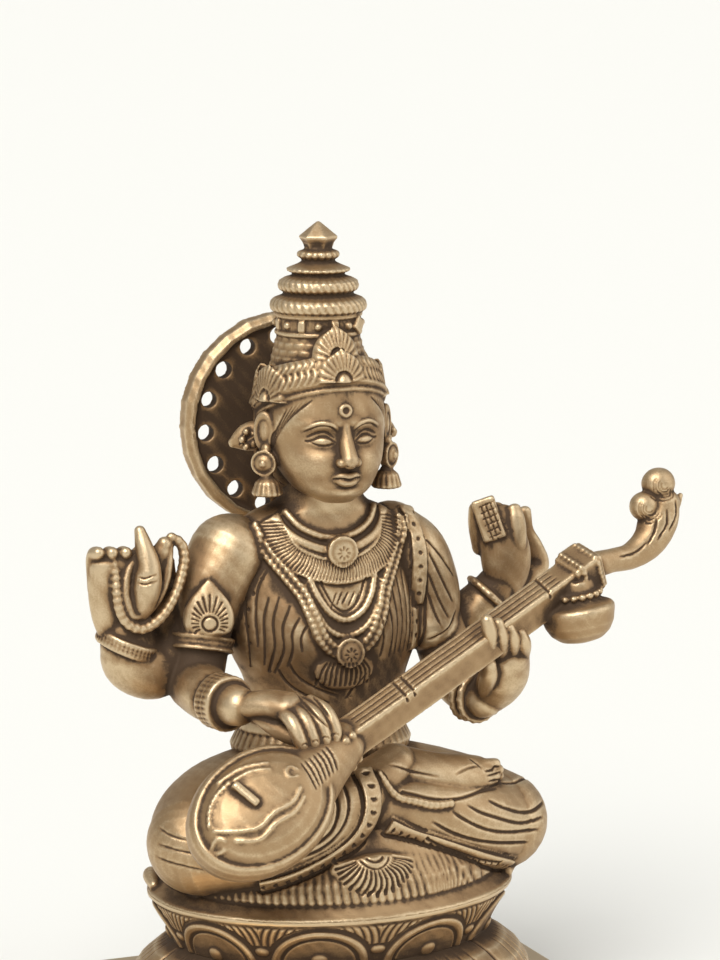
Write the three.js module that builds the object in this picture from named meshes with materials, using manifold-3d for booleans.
// A seated four-armed goddess playing a veena, cast in brass, on a lotus pedestal.
// Millimetres, +Z up. The figure faces -Y, and the origin is the centre of the pedestal's underside.

import * as THREE from "three";
import { mergeVertices } from "three/addons/utils/BufferGeometryUtils.js";
import Module from "manifold-3d";

const wasm = await Module();
wasm.setup();

// Pedestal
const PLINTH_WIDTH = 100;
const PLINTH_DEPTH = 74;
const PLINTH_HEIGHT = 10.5;
const LOWER_LOTUS_HEIGHT = 12.5;
const LOWER_LOTUS_SPREAD = 9.5;
const LOWER_PETALS = 8;
const LOWER_PETAL_RELIEF = 0.03;
const BAND_HEIGHT = 9.4;
const BAND_LEAN = 5.5;
const RIM_WIDTH = 76;
const RIM_DEPTH = 62;
const RIM_HEIGHT = 0.6;
const BAND_PETALS = 8;
const BAND_PETAL_RELIEF = 0.7;

// Figure
const FIGURE_HEIGHT = 133.5;
const SEAT_GAP = 0.3;
const LEDGE_WIDTH = 3.6;
const LEDGE_RISE = 2.4;

// Disc behind the head
const HALO_CENTRE = [-1.1, 19.6, 91.4];
const HALO_DIAMETER = 44.4;
const HALO_PLATE = 2.4;
const HALO_RIM_DEPTH = 4.2;
const HALO_RIM_WIDTH = 2.2;
const HALO_HOLE = 3.3;
const HALO_HOLE_CIRCLE = 34.9;
const HALO_HOLES = 16;
const HALO_TURN_DEG = 5.6;

// Veena, whose neck is a square bar
const VEENA_NECK_HEIGHT = 6.6;
const VEENA_NECK_DEPTH = 6;
const FINGER = 1.5;
const BEAD_CORD = 1.5;
const BANGLE = 1.1;
const PLEATS = 14;

// The figure's points are given in parts of its height. At the height above, one part is 1 mm.
const PARTS_HIGH = 133.5;
const part = FIGURE_HEIGHT / PARTS_HIGH;

const seatHeight = PLINTH_HEIGHT + LOWER_LOTUS_HEIGHT + BAND_HEIGHT + RIM_HEIGHT;
const BRASS = { color: 0x9a7b45, roughness: 0.38, metalness: 1 };

const vector = (p) => new THREE.Vector3(p[0], p[1], p[2]);
const lerp = THREE.MathUtils.lerp;
const DEG = Math.PI / 180;

// A closed mesh as a solid, facing outwards
function solid(geometry) {
  const bare = geometry.clone();
  bare.deleteAttribute("normal");
  bare.deleteAttribute("uv");
  const merged = mergeVertices(bare, 1e-4);
  const triVerts = new Uint32Array(merged.index.array);
  const vertProperties = new Float32Array(merged.attributes.position.array);
  const made = new wasm.Manifold(new wasm.Mesh({ numProp: 3, vertProperties, triVerts }));
  if (made.volume() >= 0) return made;
  const turned = triVerts.map((v, i) => triVerts[i - (i % 3) + ((3 - (i % 3)) % 3)]);
  return new wasm.Manifold(new wasm.Mesh({ numProp: 3, vertProperties, triVerts: turned }));
}

const joined = (solids) => wasm.Manifold.union(solids);

// A closed skin over rings of points, drawn together at a point at each end
function skin(rings, start, end) {
  const sides = rings[0].length;
  const points = [start, ...rings.flat(), end];
  const faces = [];
  for (let k = 0; k < sides; k++) {
    const next = (k + 1) % sides;
    faces.push(0, 1 + next, 1 + k);
    for (let r = 0; r + 1 < rings.length; r++) {
      const low = 1 + r * sides;
      const high = low + sides;
      faces.push(low + k, low + next, high + next, low + k, high + next, high + k);
    }
    const last = 1 + (rings.length - 1) * sides;
    faces.push(last + k, last + next, points.length - 1);
  }
  const geometry = new THREE.BufferGeometry().setFromPoints(points);
  geometry.setIndex(faces);
  return solid(geometry);
}

// What "point" makes of each angle of a circle, in even steps
const aroundCircle = (sides, point) =>
  Array.from({ length: sides }, (_, k) => point((2 * Math.PI * k) / sides));

// A limb through stations [x, y, z, radius], its ends rounded unless it is thin. Across "lie" it is
// "flat" times as thick.
const THIN_SIDES = 5;
function limb(stations, { sides = 6, steps = 1, lie = [0, 1, 0], flat = 1 } = {}) {
  const path = new THREE.CatmullRomCurve3(stations.map(vector));
  const girth = new THREE.CatmullRomCurve3(stations.map((s, i) => new THREE.Vector3(s[3], i, 0)));
  const ring = (t, shift, share) => {
    const along = path.getTangent(t);
    const centre = path.getPoint(t).addScaledVector(along, shift);
    const radius = girth.getPoint(t).x * share;
    const thin = vector(lie).addScaledVector(along, -vector(lie).dot(along)).normalize();
    const wide = new THREE.Vector3().crossVectors(along, thin);
    return aroundCircle(sides, (angle) =>
      centre
        .clone()
        .addScaledVector(thin, radius * flat * Math.cos(angle))
        .addScaledVector(wide, radius * Math.sin(angle)));
  };
  const spans = stations.length - 1;
  const first = stations[0][3] * flat;
  const last = stations[spans][3] * flat;
  const count = spans * steps;
  const rings = Array.from({ length: count + 1 }, (_, i) => ring(i / count, 0, 1));
  if (sides > THIN_SIDES) rings.unshift(ring(0, -first * 0.7, 0.7));
  if (sides > THIN_SIDES) rings.push(ring(1, last * 0.7, 0.7));
  const start = path.getPoint(0).addScaledVector(path.getTangent(0), -first);
  const end = path.getPoint(1).addScaledVector(path.getTangent(1), last);
  return skin(rings, start, end);
}

// A body of level oval sections [x, y, z, half width, half depth]. "swell" alters a section by angle
// and height.
function column(stations, { sides = 12, swell = () => 1, tilt = 0 } = {}) {
  const rings = stations.map(([x, y, z, width, depth], i) =>
    aroundCircle(sides, (angle) => {
      const out = swell(angle, i / (stations.length - 1));
      const forward = depth * out * Math.cos(angle);
      return new THREE.Vector3(x + width * out * Math.sin(angle), y - forward, z + tilt * forward);
    }));
  return skin(rings, vector(stations[0]), vector(stations[stations.length - 1]));
}

// A shape moved to its place, after a turn given in degrees about X, Y and Z
function placed(geometry, at, turn = [0, 0, 0]) {
  const spin = new THREE.Euler(turn[0] * DEG, turn[1] * DEG, turn[2] * DEG);
  const matrix = new THREE.Matrix4().makeRotationFromEuler(spin).setPosition(...at);
  return solid(geometry.clone().applyMatrix4(matrix));
}

function ball(at, [rx, ry, rz], { turn, sides = 6 } = {}) {
  const geometry = new THREE.SphereGeometry(1, sides, Math.round(sides * 0.65));
  return placed(geometry.scale(rx, ry, rz), at, turn);
}

// A turned shape from [radius, height] pairs that start and end on its axis
function turned(profile, sides = 10) {
  const points = profile.map(([radius, height]) => new THREE.Vector2(radius, height));
  return new THREE.LatheGeometry(points, sides).rotateX(Math.PI / 2);
}

const bothSides = (make) => [-1, 1].flatMap(make);

// Torso: level sections from the hips, by the girdle, to the neck
const TORSO = [
  [0, 5, 16, 20, 14],
  [0, 5, 22, 20, 14],
  [0, 5.2, 27.2, 16.8, 11.8],
  [0, 5.2, 27.6, 18, 13.4],
  [0, 5.2, 32, 17.2, 12.6],
  [0.4, 5.2, 32.4, 16, 11.4],
  [0.8, 4.8, 42, 17.2, 11.9],
  [0.3, 4.6, 50, 20.4, 12.6],
  [0, 4.8, 62, 20, 11],
  [0, 5.2, 69, 17.4, 9.2],
  [0, 5.2, 74, 9.8, 8],
  [0, 4.4, 84, 8, 7.6],
];
const BUST = { x: 8.2, y: -1, z: 54, radii: [8.6, 7.6, 9.6] };

// How far forward the chest's surface is at x and z
function chestAt(x, z) {
  const above = TORSO.findIndex((s) => s[2] >= z);
  const [low, high] = [TORSO[above - 1], TORSO[above]];
  const mix = (i) => lerp(low[i], high[i], (z - low[2]) / (high[2] - low[2]));
  let front = mix(1) - mix(4) * Math.sqrt(Math.max(0, 1 - (x / mix(3)) ** 2));
  for (const side of [-1, 1]) {
    const [rx, ry, rz] = BUST.radii;
    const inside = 1 - ((x - side * BUST.x) / rx) ** 2 - ((z - BUST.z) / rz) ** 2;
    if (inside > 0) front = Math.min(front, BUST.y - ry * Math.sqrt(inside));
  }
  return front;
}

// A cord that lies on the chest through [x, z] points
const onChest = (points, radius) => limb(
  points.map(([x, z]) => [x, chestAt(x, z), z, radius]),
  { sides: 4 },
);

function torso() {
  const { x, y, z, radii } = BUST;
  return [column(TORSO), ...bothSides((side) => ball([side * x, y, z], radii, { sides: 8 }))];
}

function necklaces() {
  const mirrored = (half) => [...half.map(([x, z]) => [-x, z]), ...half.slice(0, -1).reverse()];
  const collar = mirrored([[13, 74], [8.5, 67.5], [0, 64]]);
  const chain = mirrored([[16, 73], [12.6, 65], [7.6, 52], [0, 46]]);
  const medal = (z, radius) => placed(
    new THREE.CylinderGeometry(radius, radius, 3, 6), [0, chestAt(0, z), z], [90, 0, 0],
  );
  return [onChest(collar, 2.2), onChest(chain, BEAD_CORD), medal(66.6, 2.9), medal(47, 2.6)];
}

// The sari's end over the left shoulder, with its border down the chest
function shoulderCloth() {
  const border = [[14.5, 75], [16, 68], [16.4, 58], [15, 47.5]];
  return [
    limb(
      [[15.5, 5.5, 69, 7], [19.4, 5, 64.4, 8], [22.4, 4, 56.5, 7.4], [22.6, 2, 50, 5.8]],
      { sides: 8 },
    ),
    limb(border.map(([x, z]) => [x, Math.min(chestAt(x, z), -1.8) + 1, z, 1.9]), { sides: 5 }),
  ];
}

// Crossed legs, and the foot that lies on the far thigh
function legs() {
  const sole = { lie: [0, -0.8, 0.6], flat: 0.72 };
  return [
    limb(
      [[-10, 5, 17, 12], [-20, 2.4, 15.6, 11.9], [-27, -2.6, 14.2, 11.5], [-31.4, -8, 13, 10.4]],
      { sides: 8 },
    ),
    limb(
      [[10, 5, 16, 12], [20, 3, 14, 11.6], [28.5, -1.4, 12.2, 11.1], [34, -7, 10.7, 10.2]],
      { sides: 8 },
    ),
    limb(
      [[34, -7, 10.5, 9.9], [23, -13, 13.4, 9.4], [13, -16.5, 16.5, 7.6], [4, -17.5, 18.5, 6.4]],
      { sides: 8 },
    ),
    limb(
      [
        [-31, -9, 12.5, 9.9], [-20, -17, 15, 9.2], [-8, -18.8, 19, 8], [1, -17, 22.5, 6],
        [8, -14.5, 26.3, 4.4],
      ],
      { sides: 8 },
    ),
    limb(
      [
        [7.5, -14.6, 26.2, 4.6], [13.5, -15.6, 24.2, 4.8], [20.5, -15.4, 23.2, 4.6],
        [27.5, -14.6, 22.9, 3.4], [31.4, -13.4, 22.9, 1.4],
      ],
      sole,
    ),
  ];
}

// Hems of the cloth over the shins, and the anklet
function hems() {
  const upper = [
    [-26, -27, 8.2, 2], [-17, -27, 10.2, 2], [-7, -25.6, 13.8, 2], [0, -23, 19, 2], [1.4, -20.4, 26, 2],
  ];
  const lower = [
    [4.5, -23.6, 15.4, 1.7], [13, -23, 10.2, 1.7], [23, -19.8, 5.6, 1.7], [33, -12.5, 2.6, 1.6],
  ];
  const anklet = [
    [2.6, -17.4, 30, 1.1], [5.4, -19.6, 24.6, 1.1], [12, -20.2, 19.4, 1.1], [19, -19, 18, 1],
  ];
  const band = { sides: 4, lie: [0, -0.85, 0.5], flat: 0.6 };
  return [limb(upper, band), limb(lower, band), limb(anklet, { sides: 4 })];
}

// The skirt spread over the seat, from a sloping ledge up, with upright pleats and a fan of folds at its
// middle. "rise" pairs a height with a share of the ledge's width.
function skirt() {
  const halfWidth = RIM_WIDTH / 2 / part;
  const halfDepth = RIM_DEPTH / 2 / part;
  const rise = [
    [0, 0.1], [0.5, 0], [LEDGE_RISE, 1], [LEDGE_RISE + 0.4, 1.1], [8.5, 1.7], [16, 3.6],
  ];
  const stations = rise.map(([z, share]) => {
    const inset = LEDGE_WIDTH * share;
    return [0, 0, z, halfWidth - inset, halfDepth - inset * 0.6];
  });
  const pleated = (angle, t) => 1 + (t > 0.5 && t < 0.9 ? 0.012 * Math.cos(PLEATS * angle) : 0);
  const fan = limb([[-9.5, -25.6, 9.4, 3.4], [0, -26, 7.6, 4.6], [9, -23.6, 9.4, 3.2]], { flat: 0.7 });
  return [column(stations, { sides: PLEATS * 2, swell: pleated }), fan];
}

// Arms: each list runs from the shoulder to the wrist, and a bangle is a thicker stretch of it
function arms() {
  const bangled = (stations, from, to) => {
    const [a, b] = [vector(from), vector(to)];
    const ring = (t, more) => [...a.clone().lerp(b, t).toArray(), lerp(from[3], to[3], t) + more];
    return [...stations, from, ring(0.02, BANGLE), ring(0.98, BANGLE), to];
  };
  return [
    limb([
      ...bangled(
        [[-20.5, 5.2, 65.5, 8], [-24, 4.2, 60.5, 7.2]], [-26.3, 3, 53.4, 5.8], [-26.8, 2.4, 51, 5.6],
      ),
      [-28.8, 0.6, 43.6, 5.7],
    ]),
    limb(
      bangled(
        [[-28.8, 0.5, 43.2, 5.6], [-28.6, -7, 42.2, 5.2]], [-27.4, -11.8, 41.8, 4.6],
        [-26.2, -16.6, 41.8, 4.2],
      ),
      { lie: [0, 0, 1] },
    ),
    limb(
      bangled(
        [[-23.5, 7, 62, 6.6], [-29.5, 6.5, 53, 5.7], [-35, 5.6, 46, 6.8], [-40, 5, 48, 6.5]],
        [-41.2, 4.5, 50.7, 5.9],
        [-42, 4.2, 53, 5.5],
      ),
    ),
    limb([[21, 5, 59, 6.6], [24.6, 3, 50, 5.4], [26.4, 0.5, 42.5, 5.4]]),
    limb(
      bangled(
        [[26.4, 0.5, 42.4, 5.3], [27, -4.4, 38.8, 4.8]], [27.8, -7.8, 37.5, 4.5],
        [28.6, -11.4, 37.4, 4.3],
      ),
      { lie: [0, 0, 1] },
    ),
    limb(
      bangled(
        [[20.5, 7.5, 61, 6.2], [25, 7.8, 53, 5.6], [31, 6.8, 50, 5.2]],
        [37.2, 5.1, 54.8, 4.5],
        [39, 4.7, 56.2, 4.4],
      ),
    ),
  ];
}

// An armlet's leaf on the right arm
const armletLeaf = () => [ball([-26.2, -2.2, 57.8], [5, 2, 5.8], { turn: [0, 0, 12] })];

const finger = (stations, radius = FINGER) => limb(stations.map((p) => [...p, radius]), { sides: 4 });

// Fingers side by side, between the first one's points and the last one's
function fingersBetween(first, last, count, radius) {
  return Array.from({ length: count }, (_, i) =>
    finger(first.map((p, k) => p.map((v, axis) => lerp(v, last[k][axis], i / (count - 1)))), radius));
}

// The hand that plucks the strings, the fingers reaching over them
function pluckingHand() {
  const palm = limb(
    [[-25.6, -16.8, 42, 3.8], [-18.6, -24.4, 43, 4.4]],
    { lie: [0.25, -0.35, 1], flat: 0.68 },
  );
  const first = [[-20.6, -26.6, 42.8], [-19.8, -29.6, 40.6], [-18.6, -30.8, 36.8]];
  const last = [[-14.6, -25.2, 43.6], [-12.6, -28.6, 41.6], [-11.8, -30, 38]];
  return [
    palm,
    ...fingersBetween(first, last, 4),
    finger([[-23, -20.4, 40.4], [-20.6, -25.4, 38.4], [-17.4, -29, 36.6]]),
  ];
}

// The hand on the neck, below it and with the fingers up its front
function frettingHand() {
  const palm = limb(
    [[30.4, -11.4, 36.8, 4.7], [31.6, -14.6, 42.6, 6.1], [31, -17.8, 48.4, 5.6]],
    { lie: [0.4, -0.85, 0.3], flat: 0.8 },
  );
  const first = [[25.4, -20, 48.4], [24.2, -23.4, 52.4], [23.2, -24.8, 56]];
  const last = [[34, -18, 47.8], [32.6, -21.4, 50.6], [31.6, -22.6, 52.8]];
  return [
    palm,
    ball([29.8, -19.2, 50], [5, 2.8, 3]),
    ...fingersBetween(first, last, 4, FINGER * 1.1),
    finger([[24.8, -17.4, 44], [22.8, -20.4, 49], [21.4, -22.6, 53.4]]),
  ];
}

// The raised right hand with a loop of beads
function beadHand() {
  const palm = limb([[-42.4, 3.8, 54, 4.8], [-44, 3.4, 61, 5.7], [-44.2, 3.2, 67.4, 5.5]], { flat: 0.62 });
  const curled = fingersBetween(
    [[-47.8, 4.2, 66], [-48.2, 2.4, 70.4]], [[-43, 4, 66], [-42.9, 1.6, 70.4]], 3,
  );
  const raised = limb(
    [[-39.9, -0.4, 60, 2.4], [-39.2, -0.9, 64.2, 2.8], [-39, -0.6, 68.2, 2.2], [-39.8, 0.8, 74.4, 1.3]],
    { sides: 5 },
  );
  const loop = [
    [-45.3, 1.2, 69], [-45.2, -0.4, 61], [-41, -1.2, 55.4], [-34.4, -0.8, 59.6], [-30.9, 1, 69],
    [-34, 1.8, 72.4],
  ];
  const web = limb(
    [[-40, 2.9, 57.6, 5.2], [-38, 2.9, 64.4, 7], [-36, 2.9, 69, 4]],
    { flat: 0.32 },
  );
  return [palm, web, ...curled, raised, limb(loop.map((p) => [...p, BEAD_CORD]), { sides: 4 })];
}

// The raised left hand with a leaf manuscript
function bookHand() {
  const palm = limb(
    [[40.2, 3, 57.4, 4.5], [40.4, 3, 62.4, 5.6], [39.4, 3.4, 67, 5.3], [38.2, 3.8, 71, 4.6]],
    { flat: 0.62 },
  );
  const fingers = [
    finger([[36, 4.6, 65], [33.9, 4.2, 74.4]], FINGER * 1.2),
    finger([[39, 4.8, 65], [38.6, 4.4, 74]], FINGER * 1.4),
    finger([[42.4, 2.4, 66.5], [41.6, 2, 73.4]]),
  ];
  const strap = limb([[46, 4.8, 58.8, 2.2], [48.2, 6, 61.4, 2.1], [46.2, 7, 70.6, 1.4]], { sides: 4 });
  const book = limb(
    [[37.6, 1.8, 67.6, 1], [35.8, 1.4, 72, 2.6], [35, 1.6, 75, 3.1]],
    { sides: 4, lie: [-0.5, -0.86, 0], flat: 0.45 },
  );
  return [palm, ...fingers, strap, book];
}

// Veena: the neck's ends, how far it and the gourd are tipped, and the gourd's half section
const NECK_START = vector([-9, -26.6, 34.6]);
const NECK_END = vector([46, -18, 62.6]);
const NECK_TIP_DEG = 18;
const GOURD_TIP_DEG = -36;
const GOURD_CENTRE = [-28.2, -32.6, 24.2];
const GOURD_SIZE = [15.8, 12, 10.6];
const GOURD_PROFILE = [
  [0, -1], [0.6, -0.82], [0.93, -0.4], [1, 0.1], [0.96, 0.45], [0.8, 0.6], [0, 0.85],
];

function veena() {
  const run = NECK_END.clone().sub(NECK_START);
  const along = run.clone().normalize();
  const upright = new THREE.Vector3(0, 0, 1).addScaledVector(along, -along.z).normalize();
  const face = upright.applyAxisAngle(along, NECK_TIP_DEG * DEG);
  const side = new THREE.Vector3().crossVectors(face, along);
  const frame = new THREE.Matrix4().makeBasis(along, side, face).setPosition(NECK_START);
  const at = (geometry, x, y, z) => solid(geometry.translate(x, y, z).applyMatrix4(frame));
  const length = run.length();
  const bar = at(new THREE.BoxGeometry(length, VEENA_NECK_DEPTH, VEENA_NECK_HEIGHT), length / 2, 0, 0);
  const collars = [-0.5, length + 0.5].map((x) =>
    at(new THREE.BoxGeometry(5.5, VEENA_NECK_DEPTH + 2, VEENA_NECK_HEIGHT + 1.6), x, 0, 0));
  const out = new THREE.Vector3(along.y, -along.x, 0).normalize().applyAxisAngle(along, GOURD_TIP_DEG * DEG);
  const across = new THREE.Vector3().crossVectors(out, along);
  const turn = new THREE.Matrix4().makeBasis(along, across, out).setPosition(...GOURD_CENTRE);
  const gourd = solid(turned(GOURD_PROFILE).scale(...GOURD_SIZE).applyMatrix4(turn));
  const throat = limb([[-23, -31, 26, 9.4], [-15.5, -29, 30.6, 6.6], [-9, -26.8, 34.6, 4.6]]);
  const bridge = solid(new THREE.BoxGeometry(1.8, 6.5, 4).translate(-2, 4, 7.4).applyMatrix4(turn));
  const tail = limb(
    [
      [47, -17.4, 63, 3], [54, -15.8, 64.2, 2.5], [60, -14.4, 64.8, 2.8], [64.8, -13.2, 67.4, 3.7],
      [67.4, -12.3, 71.6, 4.3], [68.6, -11.8, 75, 3.4],
    ],
    { flat: 0.8, sides: 5 },
  );
  const curl = [
    ball([67.4, -11.4, 78.6], [3.7, 3, 3.5]),
    ball([64.2, -12, 74.4], [3, 2.7, 3]),
    limb([[68.6, -11.6, 73, 2.2], [72.4, -11.2, 75.2, 0.9]], { sides: 5, flat: 0.8 }),
  ];
  const bowl = placed(
    turned([[0, -4.8], [4.4, -4.2], [7, -1.6], [7.3, 1.4], [4.8, 3], [4.4, 6], [0, 6]], 8),
    [45.9, -19.4, 55],
    [-4, -18, 0],
  );
  return [bar, ...collars, gourd, throat, bridge, tail, ...curl, bowl];
}

// Head, from the chin up
const HEAD = [
  [0, -3.4, 78.4, 3, 2.6],
  [0, -1.4, 80.8, 7, 6.8],
  [0, 0.4, 84, 9.4, 9.2],
  [0, 2, 88.5, 11, 10.8],
  [0, 3, 94, 11.6, 11.3],
  [0, 4, 101, 11.4, 11.2],
];
const HAIR = [[0, 9, 79, 8, 7], [0, 8, 83, 12.2, 10], [0, 7.6, 92, 12.6, 11], [0, 6.5, 100, 12.6, 11]];
const HEADBAND = [
  [0, 4.8, 95.9, 12.2, 12], [0, 4.8, 96.4, 13, 12.7], [0, 4.8, 98.8, 13, 12.7],
  [0, 4.8, 99.4, 12.2, 12],
];

function head() {
  const ears = bothSides((side) => [
    ball([side * 12.6, 4.2, 92], [1.8, 2.6, 4.2]),
    ball([side * 12.2, 2.6, 85.6], [2.4, 3.4, 3.2]),
    placed(turned([[0, 0], [2.7, 0.3], [0.9, 4.6], [0, 4.6]], 6), [side * 12.4, 2.2, 78.8]),
    limb([[side * 12, 7.4, 90, 2.6], [side * 17.4, 8.8, 89.6, 1.2]], { sides: 5 }),
  ]);
  const nose = limb([[0, -7.4, 95, 1], [0, -9.2, 90.6, 1.3], [0, -10, 88, 1.9]], { sides: 4 });
  const lips = ball([0, -8.4, 84.4], [3.2, 1.6, 1.4], { sides: 5 });
  const band = column(HEADBAND, { sides: 12, tilt: 0.42 });
  return [column(HEAD), column(HAIR, { sides: 8 }), ...ears, nose, lips, band];
}

const CROWN_AXIS = [-0.4, 5];
const CROWN_PROFILE = [
  [0, 98], [12.4, 98], [12.6, 104], [9.8, 106.2], [8.3, 110.8],
  [8.5, 111.4], [8.5, 115.2], [9.4, 116.4], [9.4, 118], [6.7, 119.5],
  [7.8, 121], [4.8, 122.9], [5.8, 123.9], [3.1, 125.6],
  [3.6, 126.8], [2.5, 128.2], [3.5, 130.4], [0, 133.5],
];

// A pointed leaf that stands against the crown, turned round it from the front and leaning back
function crownLeaf(turnDeg, z, reach, width, height, lean) {
  const outline = [[-0.5, 0], [-0.42, 0.6], [0, 1], [0.42, 0.6], [0.5, 0]];
  const shape = new THREE.Shape(outline.map(([x, y]) => new THREE.Vector2(x * width, y * height)));
  const geometry = new THREE.ExtrudeGeometry(shape, { depth: 3, bevelEnabled: false });
  geometry.rotateX(Math.PI / 2 - lean * DEG).translate(0, 3 - reach, 0).rotateZ(turnDeg * DEG);
  return placed(geometry, [...CROWN_AXIS, z]);
}

function crown() {
  const sides = bothSides((side) => [
    [side * 70, 98.6, 13.2, 11, 8.8, 10],
    [side * 125, 96.4, 13.2, 12, 8, 10],
  ]);
  const fronts = [[0, 102.2, 13, 14, 6.8, 14], [0, 107, 11, 10.5, 6.8, 22]];
  return [
    placed(turned(CROWN_PROFILE, 10), [...CROWN_AXIS, 0]),
    ...[...fronts, ...sides].map((leaf) => crownLeaf(...leaf)),
  ];
}

// The pierced disc behind the head, dished on the face that looks forward, and the stub that holds it
function halo() {
  const [x, y, z] = HALO_CENTRE;
  const radius = HALO_DIAMETER / 2 / part;
  const reach = HALO_HOLE_CIRCLE / 2 / part;
  const holeRadius = HALO_HOLE / 2 / part;
  const circle = (cx, cy, r, sides) =>
    aroundCircle(sides, (angle) => new THREE.Vector2(cx + r * Math.cos(angle), cy + r * Math.sin(angle)));
  const outline = new THREE.Shape(circle(0, 0, radius - 0.9, 20));
  for (let i = 0; i < HALO_HOLES; i++) {
    const angle = (90 + HALO_TURN_DEG + (360 * i) / HALO_HOLES) * DEG;
    outline.holes.push(
      new THREE.Path(circle(reach * Math.cos(angle), reach * Math.sin(angle), holeRadius, 6)),
    );
  }
  const plate = new THREE.ExtrudeGeometry(outline, { depth: HALO_PLATE / part, bevelEnabled: false });
  const depth = HALO_RIM_DEPTH / part;
  const inner = radius - HALO_RIM_WIDTH / part;
  const section = [[inner, 0], [radius, 0], [radius, depth - 1], [inner, depth], [inner, 0]];
  const rim = new THREE.LatheGeometry(section.map((p) => new THREE.Vector2(...p)), 20);
  return [
    placed(plate, [x, y + depth, z], [90, 0, 0]),
    placed(rim, [x, y + depth, z], [180, 0, 0]),
    limb([[0, 12, z, 6.4], [0, y + 1.4, z, 6.4]], { flat: 0.6, lie: [0, 0, 1] }),
  ];
}

function figure() {
  const body = [torso, shoulderCloth, legs, skirt, arms];
  const dress = [necklaces, hems, armletLeaf];
  const hands = [pluckingHand, frettingHand, beadHand, bookHand];
  const others = [veena, head, crown, halo];
  return joined([body, dress, hands, others].flat().flatMap((make) => make()));
}

// The pedestal: plinth, a lotus that opens downwards, and a band of upright petals under the rim
function pedestal() {
  const waist = PLINTH_HEIGHT + LOWER_LOTUS_HEIGHT;
  const rim = waist + BAND_HEIGHT;
  const plinth = placed(
    new THREE.BoxGeometry(PLINTH_WIDTH, PLINTH_DEPTH, PLINTH_HEIGHT),
    [0, 0, PLINTH_HEIGHT / 2],
  );
  const section = (z, inset) => [0, 0, z, RIM_WIDTH / 2 - inset, RIM_DEPTH / 2 - inset];
  const lobe = (angle) => Math.abs(Math.cos((LOWER_PETALS / 2) * angle)) - 0.5;
  const lobed = (angle, t) => 1 + (t < 0.9 ? LOWER_PETAL_RELIEF * lobe(angle) : 0);
  const flare = [[0, 0.9], [0.25, 1], [0.65, 0.75], [1, 0]];
  const opening = flare.map(([t, out]) =>
    section(lerp(PLINTH_HEIGHT - 0.5, waist, t), BAND_LEAN - LOWER_LOTUS_SPREAD * out));
  const petals = column(opening, { sides: LOWER_PETALS * 4, swell: lobed });
  const slope = [section(waist - 0.4, BAND_LEAN), section(rim, 1)];
  const edge = [section(rim + 0.2, 0), section(rim + RIM_HEIGHT, 0)];
  const band = column([...slope, ...edge], { sides: 24 });
  return joined([plinth, petals, band, ...bandPetals(waist)]);
}

// The half-round petals of the band, each a smaller one on a larger one
function bandPetals(waist) {
  const pitch = (2 * Math.PI) / BAND_PETALS;
  const onBand = (angle, height, out) => {
    const inset = BAND_LEAN - (BAND_LEAN - 1) * (height / BAND_HEIGHT) - out;
    const [x, y] = [(RIM_WIDTH / 2 - inset) * Math.sin(angle), -(RIM_DEPTH / 2 - inset) * Math.cos(angle)];
    return new THREE.Vector3(x, y, waist + height);
  };
  const petal = (middle, share, out, points) => {
    const outline = (away) => Array.from({ length: points }, (_, k) => {
      const swing = Math.PI * (k / (points - 1));
      const angle = middle - (pitch / 2) * 0.96 * share * Math.cos(swing);
      return onBand(angle, BAND_HEIGHT * 0.94 * share * Math.sin(swing), away);
    });
    const centre = (away) => onBand(middle, BAND_HEIGHT * 0.4 * share, away);
    return skin([outline(-2), outline(out)], centre(-2), centre(out));
  };
  return Array.from({ length: BAND_PETALS }, (_, i) => pitch * (i + 0.5)).flatMap((middle) =>
    [petal(middle, 1, BAND_PETAL_RELIEF, 5), petal(middle, 0.6, BAND_PETAL_RELIEF * 2, 4)]);
}

// A finished solid as a named mesh
function mesh(name, shape, scale = 1) {
  const { vertProperties, triVerts, numProp } = shape.getMesh();
  const positions = new Float32Array(triVerts.length * 3);
  positions.forEach((_, i) => {
    positions[i] = vertProperties[triVerts[Math.floor(i / 3)] * numProp + (i % 3)] * scale;
  });
  const geometry = new THREE.BufferGeometry();
  geometry.setAttribute("position", new THREE.BufferAttribute(positions, 3));
  geometry.computeVertexNormals();
  const made = new THREE.Mesh(geometry, new THREE.MeshStandardMaterial(BRASS));
  made.name = name;
  return made;
}

const root = new THREE.Group();
const seated = mesh("seated_figure", figure(), part);
seated.position.z = seatHeight + SEAT_GAP;
root.add(seated, mesh("lotus_pedestal", pedestal()));

export default root;
